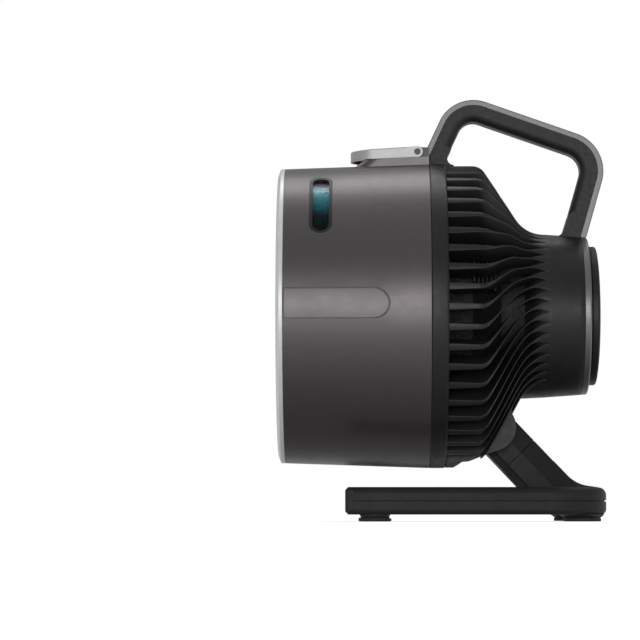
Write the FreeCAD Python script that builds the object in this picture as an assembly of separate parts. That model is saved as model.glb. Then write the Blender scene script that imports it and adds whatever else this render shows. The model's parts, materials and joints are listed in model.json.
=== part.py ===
"""Cordless misting fan on a tilting stand, modelled as the separate pieces it comes apart into.

Frame: millimetres, +Z up, the fan blows towards -Y. The origin is on the floor, in the middle of the
footprint. The fan axis runs along Y at the height AXIS_Z.
"""
import FreeCAD
import Part
import math
import os

V = FreeCAD.Vector

# ---- driving dimensions: fits -------------------------------------------------------------------------
GAP = 0.3                 # between pieces that move past each other
RUN = 0.05                # radial clearance round a pin or a shaft
SEAT = 0.02               # gap between pieces that are only seated together
WALL = 2.4                # wall of the moulded shells

# ---- driving dimensions: front drum -------------------------------------------------------------------
AXIS_Z = 153.6            # height of the fan axis
FRONT_Y = -121.9          # crown of the front grille
SHELL_FRONT_Y, SEAM_Y = -115.1, -7.9
SHELL_FRONT_R, DRUM_R = 110.4, 114.0
GRILLE_R = 104.2          # outer radius of the front grille
GRILLE_BLADES = 44
HUB_R = 24.0              # hub in the middle of the grille
DUCT_R, DUCT_WALL = 88.0, 2.0
WINDOW_Y, WINDOW_HALF, WINDOW_RIM = -88.0, 6.0, 2.4
WINDOW_LOW, WINDOW_HIGH = 30.0, 61.4       # degrees above the horizontal
INLAY_END_Y, INLAY_Z, INLAY_HALF, INLAY_T = -37.5, 156.1, 11.4, 1.2
TANK_Y0, TANK_Y1, TANK_R0, TANK_R1 = -106.0, -24.0, 91.0, 106.6
TANK_LOW, TANK_HIGH = -22.0, 202.0         # degrees that the saddle tank spans
HOSE_R, HOSE_END_Y = 99.0, -110.2          # the water line: distance from the axis, and front end

# ---- driving dimensions: rear housing -----------------------------------------------------------------
COLLAR_END_Y = 4.3
VANE_R = 112.5            # radius over the vanes beside the collar
SLOPE_TOP, SLOPE_FOOT = 30.5, 64.7         # stations where the shoulder's slope would start and end
TUBE_R, TUBE_END_R, TUBE_Y, TUBE_END_Y = 61.2, 59.2, 79.0, 105.6
RING_END_Y = 110.3
VANE_COUNT, VANE_TWIST = 48, 25.5          # vanes round the cage, and degrees that each one turns
VANE_STATIONS = 20        # cross sections that shape a vane
SEAM_BEVEL = 0.5          # bevel on both sides of the drum's seams
CAN_R, CAN_Y0, CAN_Y1 = 47.4, 2.0, 94.0    # the can that holds the battery
SADDLE_HALF = 28.0        # degrees each side of straight down that the tube reaches forward over
MOTOR_R = 22.0

# ---- driving dimensions: controls ---------------------------------------------------------------------
DIAL_R, DIAL_BORE, DIAL_Y0, DIAL_Y1 = 52.0, 37.3, 110.8, 116.8
PANEL_R = 37.0
BUTTON_R, BUTTON_Z = 8.0, 12.5
PORT_Y = 92.0

# ---- driving dimensions: tilt joint and stand ---------------------------------------------------------
PIVOT_Y, PIVOT_Z = 37.9, 69.7
EAR_R, KNUCKLE_R, PIN_R = 18.0, 14.9, 4.0
ARM_SLOPE = 46.5          # degrees below level
ARM_TOP, ARM_UNDER = 16.4, -15.7           # offsets of the arm's upper and lower faces from the pivot
ARM_HALF, ARM_CREST, EAR_IN, EAR_OUT = 20.5, 14.0, 22.4, 29.0
BASE_BOTTOM, BASE_SEAM, BASE_TOP = 5.0, 15.0, 25.0
BASE_HALF, LEG_W = 80.0, 24.0
BASE_SCREWS = ((68.0, -20.0), (30.0, 110.0))
LEG_FRONT_Y, CAP_Y, BASE_REAR_Y, CORNER_R = -70.4, -64.0, 121.3, 43.0
CROSS_Y, ROOT_Y, ROOT_HALF = 88.0, 70.0, 34.0
FEET = ((68.0, -48.8, 12.0), (52.0, 102.5, 14.0))      # x, y and radius of the rubber pads
PAD_T = 2.4
BOSSES = ((10.2, 11.4), (13.0, 17.5))      # radius of the boss over each pad, at its foot and its head

# ---- driving dimensions: lid and handle ---------------------------------------------------------------
LID_PIN_Y, LID_PIN_Z, LID_PIN_R, KNUCKLE_OUT = -16.5, 275.9, 2.4, 3.9
EAR_LID_R, LID_EAR_IN = 4.1, 15.7          # the cover's outer ears
LID_FRONT_Y, LID_REAR_Y, LID_HALF = -66.4, -21.0, 18.0
PLATEAU_HALF = 21.0
NECK = (13.0, -55.0, -27.0)                # half width, front and rear of the fill opening
GRIP_FOOT_Y = 10.5        # rear end of the grip's front foot
GRIP_HALF, TRIM_T, GRIP_T, REAR_LEG_SHARE = 12.0, 3.9, 16.3, 1.07
HANDLE = ((-16.0, 264.6), (10.9, 322.4), (129.5, 280.8), (109.6, 211.0))
HANDLE_R = (28.0, 30.0)

AXIS = V(0, 0, AXIS_Z)
PIVOT = V(0, PIVOT_Y, PIVOT_Z)
X_DIR, Y_DIR, Z_DIR = V(1, 0, 0), V(0, 1, 0), V(0, 0, 1)
parts = {}


# ---- helpers ------------------------------------------------------------------------------------------
def keep(name, *solids):
    """Stores one named piece. Several solids are several identical screws, pads or cells."""
    shape = solids[0] if len(solids) == 1 else Part.makeCompound(list(solids))
    parts[name] = shape
    return shape


def both_sides(shape):
    """The shape and its mirror image in the plane X = 0."""
    return [shape, shape.mirror(V(0, 0, 0), X_DIR)]


def around(shape, degrees):
    """A copy turned about the fan axis, counted from +X up to +Z."""
    copy = shape.copy()
    copy.rotate(AXIS, Y_DIR, -degrees)
    return copy


def polar(y, radius, degrees):
    """The point at a station and radius, with degrees counted from +X up to +Z."""
    a = math.radians(degrees)
    return V(radius * math.cos(a), y, AXIS_Z + radius * math.sin(a))


def turned(points, low=0.0, high=360.0):
    """Solid of revolution about the fan axis. A point is (y, r); (y, r, "arc") is passed on an arc."""
    at = [V(p[1], p[0], AXIS_Z) for p in points]
    edges, i, n = [], 0, len(points)
    while i < n:
        if len(points[(i + 1) % n]) == 3:
            edges.append(Part.Arc(at[i], at[(i + 1) % n], at[(i + 2) % n]).toShape())
            i += 2
        else:
            edges.append(Part.makeLine(at[i], at[(i + 1) % n]))
            i += 1
    solid = Part.Face(Part.Wire(edges)).revolve(AXIS, V(0, -1, 0), high - low)
    return around(solid, low) if low else solid


def rounded(corners):
    """A closed wire through (a, b, radius) corners in a plane, with an arc of that radius at each."""
    n, edges, arcs = len(corners), [], []
    for i, (a, b, r) in enumerate(corners):
        here = V(a, b, 0)
        before, after = corners[i - 1], corners[(i + 1) % n]
        back = (V(before[0], before[1], 0) - here).normalize()
        on = (V(after[0], after[1], 0) - here).normalize()
        if r == 0:
            arcs.append((here, here, here))
            continue
        half = back.getAngle(on) / 2
        middle = here + (back + on).normalize() * (r / math.sin(half) - r)
        arcs.append((here + back * (r / math.tan(half)), middle, here + on * (r / math.tan(half))))
    for i, (start, middle, end) in enumerate(arcs):
        if (start - end).Length > 1e-6:
            edges.append(Part.Arc(start, middle, end).toShape())
        following = arcs[(i + 1) % n][0]
        if (following - end).Length > 1e-6:
            edges.append(Part.makeLine(end, following))
    return Part.Wire(edges)


def plate(corners, z0, z1):
    """A plate seen from above: (x, y, radius) corners, between two heights."""
    return Part.Face(rounded(corners)).extrude(V(0, 0, z1 - z0)).translated(V(0, 0, z0))


def side_plate(corners, x1, x0=None):
    """A plate seen from the side: (y, z, radius) corners, from x0 to x1 (from -x1 if x0 is not given)."""
    low = -x1 if x0 is None else x0
    solid = Part.Face(rounded(corners)).extrude(V(0, 0, x1 - low))
    solid.Placement = FreeCAD.Placement(V(low, 0, 0), FreeCAD.Rotation(Y_DIR, Z_DIR, X_DIR, "ZXY"))
    return solid


def rod(radius, start, end):
    """A round bar between two points."""
    return Part.makeCylinder(radius, (end - start).Length, start, end - start)


def ring(outer, inner, start, end):
    """A round sleeve between two points."""
    return rod(outer, start, end).cut(rod(inner, start, end))


def box(x0, x1, y0, y1, z0, z1):
    """A block between two corners."""
    return Part.makeBox(x1 - x0, y1 - y0, z1 - z0, V(x0, y0, z0))


def soften(shape, radius, wanted):
    """Rounds the edges that wanted(edge) picks."""
    return shape.makeFillet(radius, [e for e in shape.Edges if wanted(e)])


def screw(tip, direction, length, shank_r=1.5, head_r=2.8):
    """A pan-head screw with a hex socket. The direction points from the tip to the head."""
    d = V(direction).normalize()
    neck = tip + d * length
    top = neck + d * 2.2
    body = rod(shank_r, tip, neck).fuse(rod(head_r, neck, top))
    side = d.cross(X_DIR if abs(d.x) < 0.9 else Y_DIR).normalize() * (head_r * 0.5)
    hexagon = [top + FreeCAD.Rotation(d, 60 * k).multVec(side) for k in range(7)]
    return body.cut(Part.Face(Part.makePolygon(hexagon)).extrude(d * -1.4))


def tube_along(points, radius):
    """A round hose through the points, with a ball at each bend."""
    solid = rod(radius, points[0], points[1])
    for a, b in zip(points[1:], points[2:]):
        solid = solid.fuse([Part.makeSphere(radius, a), rod(radius, a, b)])
    return solid


# ---- front drum ---------------------------------------------------------------------------------------
def shell_radius(y):
    """Outer radius of the front shell at a station."""
    share = (y - SHELL_FRONT_Y) / (SEAM_Y - SHELL_FRONT_Y)
    return SHELL_FRONT_R + share * (DRUM_R - SHELL_FRONT_R)


def wrapped(y0, y1, low, high, r0, r1, front_radius, end_radius):
    """A slot wrapped on the drum between two stations, two angles and two radii."""
    sector = turned([(y0, r0), (y1, r0), (y1, r1), (y0, r1)], low, high)
    half = 109.0 * math.radians(high - low) / 2
    corners = [(-half, y0, front_radius), (half, y0, front_radius), (half, y1, end_radius),
               (-half, y1, end_radius)]
    blank = plate(corners, r0 - 8, r1 + 8)
    blank.rotate(V(0, 0, 0), Y_DIR, 90 - (low + high) / 2)
    return sector.common(blank.translated(AXIS))


def window_space(grow, r0, r1):
    """The stadium-shaped space of one window, grown by a margin."""
    extra = math.degrees(grow / 110.0)
    half = WINDOW_HALF + grow
    return wrapped(WINDOW_Y - half, WINDOW_Y + half, WINDOW_LOW - extra, WINDOW_HIGH + extra, r0, r1,
                   half - 0.02, half - 0.02)


def inlay_space(gap):
    """The space of one badge plate, let into the side of the shell."""
    half = INLAY_HALF - gap
    corners = [(SHELL_FRONT_Y - gap, INLAY_Z - half, 0), (INLAY_END_Y - gap, INLAY_Z - half, half - 0.02),
               (INLAY_END_Y - gap, INLAY_Z + half, half - 0.02), (SHELL_FRONT_Y - gap, INLAY_Z + half, 0)]
    block = side_plate(corners, 125.0, 100.0)
    front, rear = SHELL_FRONT_Y - 1, SEAM_Y
    core = turned([(front, 0), (front, shell_radius(front) - INLAY_T + gap / 4),
                   (rear, shell_radius(rear) - INLAY_T + gap / 4), (rear, 0)])
    return block.cut(core)


def plateau(inset):
    """The flat-topped boss under the lid, made smaller by an inset for its hollow."""
    front, half = -62.0 + inset, PLATEAU_HALF - inset
    return side_plate([(front, 230, 0), (SEAM_Y + inset, 230, 0), (SEAM_Y + inset, 272.0 - inset, 0),
                       (-57.0 + inset, 269.4 - inset, 0), (front, 265.5 - inset, 0)], half)


def front_shell():
    """The outer drum, with its plateau, window openings, badge recesses and fill opening."""
    outer = turned([(SHELL_FRONT_Y, 0), (SHELL_FRONT_Y, SHELL_FRONT_R), (SEAM_Y - SEAM_BEVEL, DRUM_R),
                    (SEAM_Y, DRUM_R - SEAM_BEVEL), (SEAM_Y, 0)])
    inner = turned([(SHELL_FRONT_Y - 1, 0), (SHELL_FRONT_Y - 1, SHELL_FRONT_R - WALL),
                    (SEAM_Y + 1, DRUM_R - WALL), (SEAM_Y + 1, 0)])
    boss = soften(plateau(0), 7.0, lambda e: abs(e.Length - 3.9) < 3 and e.CenterOfMass.y < -59.0
                  and abs(abs(e.CenterOfMass.x) - PLATEAU_HALF) < 0.1 and e.CenterOfMass.z > 250)
    solid = outer.fuse(boss).cut(inner.fuse(plateau(WALL)))
    half, y0, y1 = NECK
    solid = solid.cut(plate([(-half, y0, 5), (half, y0, 5), (half, y1, 5), (-half, y1, 5)], 250, 280))
    tools = []
    for tool in (window_space(WINDOW_RIM, 100.0, 118.0), inlay_space(0.0)):
        tools += both_sides(tool)
    return keep("front_shell", solid.cut(tools))


def shell_trim():
    """Badge plates, window rims and window panes, on both sides of the shell."""
    skin = turned([(SHELL_FRONT_Y, 0), (SHELL_FRONT_Y, SHELL_FRONT_R), (SEAM_Y, DRUM_R), (SEAM_Y, 0)])
    keep("side_inlays", *both_sides(inlay_space(0.6).common(skin)))
    r = shell_radius(WINDOW_Y)
    rim = window_space(WINDOW_RIM - 0.03, r - 4.2, r + 4).cut(window_space(0.0, r - 5, r + 5))
    slope = turned([(-100, r - 5), (-100, r - 0.6), (-76, r + 0.2), (-76, r - 5)])
    keep("window_rims", *both_sides(rim.common(slope)))
    keep("window_panes", *both_sides(window_space(-0.03, r - 4.2, r - 2.4)))


def front_ring():
    """The bright ring round the front, with a sloping face."""
    return keep("front_ring", turned([(SHELL_FRONT_Y, 110.0), (-115.5, 110.4), (-117.9, 110.4),
                                      (-118.5, 110.0, "arc"), (-118.9, 109.3), (-120.3, 105.4),
                                      (-120.3, GRILLE_R + 0.1), (-112.0, GRILLE_R + 0.1),
                                      (-112.0, 107.9), (SHELL_FRONT_Y, 107.9)]))


def dome_outline(depth, reach):
    """Half outline of the grille's shallow dome, moved back by a depth."""
    return [(FRONT_Y + depth, 0), (FRONT_Y + 0.5 + depth, 52, "arc"), (FRONT_Y + 1.9 + depth, reach)]


def front_grille():
    """Swept blades between a rim, a middle ring and a hub, all on a shallow dome."""
    slab = turned(dome_outline(0.0, GRILLE_R) + [(FRONT_Y + 9.5, GRILLE_R), (FRONT_Y + 8, 0)])

    def edge(offset):
        return [polar(0, r, a + math.degrees(offset / r)) for r, a in ((23.0, 0), (62.0, 16), (100.4, 40))]
    near, far = edge(-0.8), edge(0.8)
    outline = Part.Wire([Part.Arc(*near).toShape(), Part.makeLine(near[2], far[2]),
                         Part.Arc(*far).toShape(), Part.makeLine(far[0], near[0])])
    blade = Part.Face(outline).extrude(V(0, 20, 0)).translated(V(0, -125, 0))
    blades = [around(blade, 360.0 / GRILLE_BLADES * k) for k in range(GRILLE_BLADES)]
    solid = turned([(-125, 99.6), (-125, GRILLE_R), (-105, GRILLE_R), (-105, 99.6)])
    solid = solid.fuse([turned([(-125, 0), (-125, HUB_R), (-105, HUB_R), (-105, 0)]),
                        turned([(-125, 61.2), (-125, 62.8), (-105, 62.8), (-105, 61.2)])] + blades)
    solid = solid.common(slab)
    return keep("front_grille", solid.cut(rod(12.4, V(0, -130, AXIS_Z), V(0, -100, AXIS_Z))))


def nozzle():
    """The mist nozzle in the middle of the grille, and the bright ring round it."""
    body = turned([(-120.4, 0), (-120.4, 5.5), (-119.4, 8.6), (-108.0, 8.6), (-108.0, 3.4), (-105.0, 3.4),
                   (-105.0, 0)])
    bore = turned([(-121, 0), (-121, 1.2), (-114, 1.2), (-114, 2.0), (-104, 2.0), (-104, 0)])
    keep("mist_nozzle", body.cut(bore))
    keep("nozzle_ring", turned([(-120.2, 8.65), (-121.4, 9.4), (-121.8, 12.3), (-113.9, 12.3),
                                (-113.9, 8.65)]))


def tank():
    """The saddle-shaped water tank over the duct, with its fill neck and its gasket."""
    skin = 1.8
    saddle = turned([(TANK_Y0, TANK_R0), (TANK_Y1, TANK_R0), (TANK_Y1, TANK_R1), (TANK_Y0, TANK_R1)],
                    TANK_LOW, TANK_HIGH)
    hollow = turned([(TANK_Y0 + skin, TANK_R0 + skin), (TANK_Y1 - skin, TANK_R0 + skin),
                     (TANK_Y1 - skin, TANK_R1 - skin), (TANK_Y0 + skin, TANK_R1 - skin)],
                    TANK_LOW + 1.2, TANK_HIGH - 1.2)
    half, y0, y1 = NECK
    x, a, b = half - 0.1, y0 + 0.1, y1 - 0.1
    neck = plate([(-x, a, 4.9), (x, a, 4.9), (x, b, 4.9), (-x, b, 4.9)], 256.0, 266.4)
    x, a, b = x - skin, a + skin, b - skin
    bore = plate([(-x, a, 3), (x, a, 3), (x, b, 3), (-x, b, 3)], 252.0, 290.0)
    x, a, b = half - 0.1, y0 + 0.1, y1 - 0.1
    seal = plate([(-x, a, 4.9), (x, a, 4.9), (x, b, 4.9), (-x, b, 4.9)], 266.42, 268.0)
    keep("fill_gasket", seal.cut(bore))
    return keep("water_tank", saddle.fuse(neck).cut([hollow, bore]))


def duct():
    """The round air duct, with a bell mouth that closes the drum behind the tank."""
    outer = DUCT_R + DUCT_WALL
    duct_ring = turned([(-111.8, DUCT_R + 4), (-108.2, DUCT_R), (-24.0, DUCT_R),
                        (-13.6, 91.6, "arc"), (-9.2, 101.8), (-8.4, 111.0), (-10.8, 111.0),
                        (-11.6, 102.4), (-15.6, 93.4, "arc"), (-23.8, outer), (-106.6, outer),
                        (-106.6, 107.4), (-109.0, 107.4), (-109.0, DUCT_R + 6)])
    hose_z = AXIS_Z - HOSE_R
    notch = box(-2.1, 2.1, -115.0, -107.6, hose_z - 2.1, hose_z + 15.0)
    hole = rod(2.1, V(0, -112.0, hose_z), V(0, -100.0, hose_z))
    keep("air_duct", duct_ring.cut([notch, hole]))


# ---- rear housing -------------------------------------------------------------------------------------
def vane_outer(y):
    """Radius over the vanes: a drum, a rounded shoulder, a straight slope and a fillet into the tube."""
    slope = (VANE_R - TUBE_R) / (SLOPE_FOOT - SLOPE_TOP)
    bend = math.atan(slope)
    reach_top, reach_foot = 4.6, 13.2
    if y < SLOPE_TOP - reach_top:
        return VANE_R
    if y < SLOPE_TOP + reach_top * math.cos(bend):
        r = reach_top / math.tan(bend / 2)
        return VANE_R - r + math.sqrt(r * r - (y - SLOPE_TOP + reach_top) ** 2)
    if y < SLOPE_FOOT - reach_foot * math.cos(bend):
        return VANE_R - slope * (y - SLOPE_TOP)
    r = reach_foot / math.tan(bend / 2)
    past = min(0.0, y - SLOPE_FOOT - reach_foot)
    return TUBE_R + r - math.sqrt(r * r - past ** 2)


def smooth(y, y0, y1):
    """A smooth step from 0 at y0 to 1 at y1."""
    t = min(1.0, max(0.0, (y - y0) / (y1 - y0)))
    return t * t * (3 - 2 * t)


def vane():
    """One intake vane, from the collar to the tube, starting at the +X side."""
    wires = []
    for k in range(VANE_STATIONS):
        y = COLLAR_END_Y - 0.5 + (TUBE_Y - COLLAR_END_Y) * k / (VANE_STATIONS - 1)
        outer = vane_outer(y)
        inner = max(outer - 14.0 + 5.0 * smooth(y, 30, 60), 46.0)
        turn = VANE_TWIST * smooth(y, 28.0, 74.0)
        half = 2.5 - 1.5 * smooth(y, 20.0, 48.0)
        a, b = math.degrees(half / outer), math.degrees(max(half - 0.9, 0.6) / inner)
        corners = [polar(y, outer, turn - a), polar(y, outer, turn + a), polar(y, inner, turn + b),
                   polar(y, inner, turn - b)]
        wires.append(Part.makePolygon(corners + corners[:1]))
    return Part.makeLoft(wires, True, False)


def rear_housing():
    """Collar, intake vanes and battery tube in one moulding, cut away over the tilt bracket."""
    collar = turned([(SEAM_Y, DRUM_R - SEAM_BEVEL), (SEAM_Y + SEAM_BEVEL, DRUM_R), (2.6, DRUM_R),
                     (3.8, 113.6, "arc"), (COLLAR_END_Y, VANE_R),
                     (COLLAR_END_Y, 97.6), (1.9, 97.6), (-0.6, 111.2), (SEAM_Y, 111.45)])
    sleeve = turned([(62.0, CAN_R + 0.1), (62.0, 49.8), (70.0, 58.4), (TUBE_Y, TUBE_R),
                     (TUBE_END_Y, TUBE_END_R), (TUBE_END_Y, TUBE_END_R - WALL), (TUBE_Y, TUBE_R - WALL),
                     (71.0, 56.0), (66.0, CAN_R + 0.1)])
    blade = vane()
    vanes = [around(blade, 360.0 / VANE_COUNT * k) for k in range(VANE_COUNT)]
    pocket = box(-EAR_OUT - 0.1, EAR_OUT + 0.1, COLLAR_END_Y, TUBE_Y + 5, 30, 101)
    saddle = turned([(60.1, 62.1), (TUBE_Y, TUBE_R), (TUBE_Y, TUBE_R - WALL), (71.0, 56.0), (66.0, 53.0),
                     (60.1, 53.0)], 270 - SADDLE_HALF, 270 + SADDLE_HALF)
    solid = collar.fuse(vanes).cut(pocket).fuse([sleeve, saddle])
    foot = box(-GRIP_HALF - 0.05, GRIP_HALF + 0.05, -8.5, GRIP_FOOT_Y + 0.05, 262.85, 290)
    port = box(-70, -55.0, PORT_Y - 11.1, PORT_Y + 9.3, AXIS_Z - 5.3, AXIS_Z + 5.3)
    solid = solid.cut([foot, port])
    return keep("rear_housing", max(solid.Solids, key=lambda s: s.Volume))


def tilt_bracket():
    """The bracket under the housing: two ears for the pivot pin, a front wall and a web."""
    front = COLLAR_END_Y + SEAT
    outline = [(front, 39.4, 0), (10.0, 39.9, 3), (13.4, 42.0, 3), (16.5, 44.4, 3), (23.0, 45.1, 9),
               (32.5, 48.8, 0), (43.4, 52.6, 0), (50.0, 66.0, 0), (53.2, 79.2, 0), (60.0, 91.9, 0),
               (60.0, 98.0, 3), (front, 98.0, 0)]
    solid = side_plate(outline, EAR_OUT).fuse(rod(EAR_R, PIVOT - X_DIR * EAR_OUT, PIVOT + X_DIR * EAR_OUT))
    swing = side_plate([(18.4, 20, 0), (90.0, 20, 0), (90.0, 88.4, 0), (18.4, 88.4, 8)], EAR_IN)
    relief = side_plate([(7.0, 44.0, 0), (15.4, 50.0, 0), (15.4, 91.6, 4), (57.0, 91.6, 0),
                         (57.0, 120.0, 0), (7.0, 120.0, 0)], EAR_OUT - 3.4)
    bore = rod(PIN_R + RUN, PIVOT - X_DIR * 40, PIVOT + X_DIR * 40)
    solid = solid.cut([swing, relief, bore])
    inside = turned([(0, 0), (0, DRUM_R - 0.3), (80, DRUM_R - 0.3), (80, 0)])
    return keep("tilt_bracket", solid.common(inside))


def rear_ring():
    """The bright ring round the back of the tube."""
    return keep("rear_ring", turned([(TUBE_END_Y + SEAT, 53.2), (TUBE_END_Y + SEAT, TUBE_END_R),
                                     (108.6, 59.0), (110.0, 58.4, "arc"), (RING_END_Y, 57.4),
                                     (RING_END_Y, 53.2)]))


def handle_outline(depth):
    """The handle's line, moved inwards from its outer face by a depth: four points and two radii."""
    points = [V(y, z, 0) for y, z in HANDLE]
    lines = []
    for a, b in zip(points, points[1:]):
        along = (b - a).normalize()
        inward = V(along.y, -along.x, 0)
        share = REAR_LEG_SHARE if b == points[-1] else 1.0
        lines.append((a + inward * depth * share, along))
    corners = [lines[0][0]]
    for (p, u), (q, w) in zip(lines, lines[1:]):
        share = ((q - p).cross(w)).z / (u.cross(w)).z
        corners.append(p + u * share)
    corners.append(lines[2][0] + lines[2][1] * (points[3] - points[2]).Length)
    return corners


def handle_band(depth0, depth1, half):
    """The handle between two depths, as a plate seen from the side."""
    outer, inner = handle_outline(depth0), handle_outline(depth1)
    radii = (0,) + HANDLE_R + (0,)
    corners = [(p.x, p.y, r - depth0 if r else 0) for p, r in zip(outer, radii)]
    corners += [(p.x, p.y, r - depth1 if r else 0) for p, r in zip(reversed(inner), reversed(radii))]
    return side_plate(corners, half)


def handle():
    """The soft black grip with its two flared feet, and the bright strip over its outer side."""
    foot_front = side_plate([(-7.7, 262.9, 0), (GRIP_FOOT_Y, 262.9, 0), (GRIP_FOOT_Y, 266.4, 0),
                             (3.1, 266.4, 5), (9.2, 279.4, 0), (0.0, 282.0, 0), (-7.7, 270.0, 0)], GRIP_HALF)
    foot_rear = side_plate([(82.0, 205.0, 0), (105.5, 205.0, 0), (105.5, 214.0, 0), (100.6, 232.0, 0),
                            (96.4, 228.2, 0), (91.6, 212.4, 8), (82.0, 212.4, 0)], GRIP_HALF)
    grip = handle_band(TRIM_T + SEAT, GRIP_T, GRIP_HALF)
    grip = soften(grip, 6.0, lambda e: runs_along(e, GRIP_T - 0.5, GRIP_T, GRIP_HALF))
    clear_drum = turned([(-30, 0), (-30, 118.4), (SEAM_Y + 0.1, 118.4), (SEAM_Y + 0.1, 109.3),
                         (50, 109.3), (50, 0)])
    clear_tube = turned([(50, 0), (50, 62.0), (TUBE_Y, TUBE_R + SEAT), (TUBE_END_Y, TUBE_END_R + SEAT),
                         (140, TUBE_END_R + SEAT), (140, 0)])
    keep_out = handle_band(-20.0, TRIM_T + SEAT, 30).cut(box(-40, 40, 20, 80, 200, 340))
    below_foot = box(-30, 30, SEAM_Y, 40, 200, 262.9)
    solid = grip.fuse([foot_front, foot_rear]).cut([clear_drum, clear_tube, keep_out, below_foot])
    solid = solid.cut(box(-30, 30, -40, SEAM_Y + 0.1, 250, 279.6))
    keep("handle_grip", max(solid.Solids, key=lambda s: s.Volume))
    strip = handle_band(0.0, TRIM_T, GRIP_HALF)
    strip = soften(strip, 0.8, lambda e: runs_along(e, 0.0, 0.5, GRIP_HALF))
    below = turned([(90, 0), (90, TUBE_END_R + 0.15), (140, TUBE_END_R + 0.15), (140, 0)])
    over_shell = box(-30, 30, -40, 10, 200, 272.4)
    over_block = box(-30, 30, -40, SEAM_Y - 0.18, 200, 279.42)
    strip = strip.cut([over_shell, over_block, below])
    keep("handle_trim", max(strip.Solids, key=lambda s: s.Volume))


def runs_along(edge, depth0, depth1, half):
    """Whether an edge follows the handle at a depth, along one of its sides."""
    ends = [v.Point for v in edge.Vertexes]
    middle = edge.valueAt((edge.FirstParameter + edge.LastParameter) / 2)
    beside = all(abs(abs(p.x) - half) < 0.01 for p in ends)
    near = handle_band(depth0, depth1, half).distToShape(Part.Vertex(middle))[0] < 0.05
    return beside and near and abs(ends[0].x - ends[-1].x) < 0.01


# ---- lid ----------------------------------------------------------------------------------------------
def lid():
    """The lid over the tank's filler: a bright cover, a dark plug under it, a hinge block and a pin."""
    plan = [(-LID_HALF, LID_REAR_Y, 1.0), (-LID_HALF, LID_FRONT_Y, LID_HALF - 0.05),
            (LID_HALF, LID_FRONT_Y, LID_HALF - 0.05), (LID_HALF, LID_REAR_Y, 1.0)]
    blank = plate(plan, 262, 286)
    profile = [(LID_FRONT_Y - 1, 276.9, 0), (LID_REAR_Y + 1, 279.7, 2.2), (LID_REAR_Y + 1, 271.7, 0),
               (-55.0, 270.2, 0), (-57.4, 269.3, 0), (LID_FRONT_Y - 1, 269.3, 0)]
    rim = 2.3
    hollow = plate([(x - math.copysign(rim, x), y + (rim if y == LID_FRONT_Y else -rim), max(r - rim, 0))
                    for x, y, r in plan], 262, 286)
    under = side_plate([(LID_FRONT_Y, 262, 0), (LID_REAR_Y, 262, 0), (LID_REAR_Y, 273.2, 0),
                        (-54.0, 271.6, 0), (-60.0, 274.4, 0), (LID_FRONT_Y, 274.7, 0)], LID_HALF)
    cover = blank.common(side_plate(profile, LID_HALF + 1)).cut(hollow.common(under))
    cover = soften(cover, 0.9, lambda e: e.CenterOfMass.z > 276.5 and e.CenterOfMass.y < LID_REAR_Y - 1
                   and e.Length > 20)
    axis_a, axis_b = V(-7.8, LID_PIN_Y, LID_PIN_Z), V(7.8, LID_PIN_Y, LID_PIN_Z)
    arm = side_plate([(LID_REAR_Y - 3, 273.4, 0), (LID_PIN_Y, LID_PIN_Z - KNUCKLE_OUT, 0),
                      (LID_PIN_Y, LID_PIN_Z + 3.2, 0), (LID_REAR_Y - 3, 279.0, 0)], 7.8)
    cover = cover.fuse([arm, rod(KNUCKLE_OUT, axis_a, axis_b)])
    for s in (-1, 1):
        ear = side_plate([(LID_REAR_Y - 3, 271.8, 0), (LID_PIN_Y, LID_PIN_Z - EAR_LID_R, 0),
                          (LID_PIN_Y, LID_PIN_Z + EAR_LID_R, 0), (LID_REAR_Y - 3, 279.3, 0)],
                         s * LID_HALF, s * LID_EAR_IN)
        end = rod(EAR_LID_R, V(s * LID_EAR_IN, LID_PIN_Y, LID_PIN_Z), V(s * LID_HALF, LID_PIN_Y, LID_PIN_Z))
        cover = cover.fuse([ear, end])
    hole = rod(LID_PIN_R + SEAT, V(-30, LID_PIN_Y, LID_PIN_Z), V(30, LID_PIN_Y, LID_PIN_Z))
    keep("lid_cover", cover.cut(hole))
    half, y0, y1 = NECK
    tray = side_plate([(-60.0, 274.2, 0), (-54.0, 271.4, 0), (-23.4, 273.0, 0), (-23.4, 272.0, 0),
                       (-57.4, 270.0, 0), (-60.0, 271.2, 1)], 12.6)
    x, a, b = half - 0.4, y0 + 0.4, y1 - 0.4
    plug = plate([(-x, a, 4.6), (x, a, 4.6), (x, b, 4.6), (-x, b, 4.6)], 268.4, 272.0)
    keep("lid_plug", tray.fuse(plug).cut(cover))
    block = box(-15.4, 15.4, -12.3, SEAM_Y - 0.2, 272.1, 279.4)
    lugs = []
    for x0, x1 in ((-15.4, -8.1), (8.1, 15.4)):
        arm = side_plate([(LID_PIN_Y, LID_PIN_Z - 3.4, 0), (-11.0, LID_PIN_Z - 3.5, 0),
                          (-11.0, LID_PIN_Z + 3.4, 0), (LID_PIN_Y, LID_PIN_Z + KNUCKLE_OUT, 0)], x1, x0)
        lugs += [arm, rod(KNUCKLE_OUT, V(x0, LID_PIN_Y, LID_PIN_Z), V(x1, LID_PIN_Y, LID_PIN_Z))]
    block = block.fuse(lugs).cut([plateau(0).translated(V(0, 0, SEAT)), hole_for_pin()])
    keep("lid_hinge_block", block)
    pin = rod(LID_PIN_R, V(-LID_HALF, LID_PIN_Y, LID_PIN_Z), V(LID_HALF, LID_PIN_Y, LID_PIN_Z))
    keep("lid_hinge_pin", pin)


def hole_for_pin():
    """The running hole for the lid's pin in the hinge block."""
    return rod(LID_PIN_R + RUN, V(-30, LID_PIN_Y, LID_PIN_Z), V(30, LID_PIN_Y, LID_PIN_Z))


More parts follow.
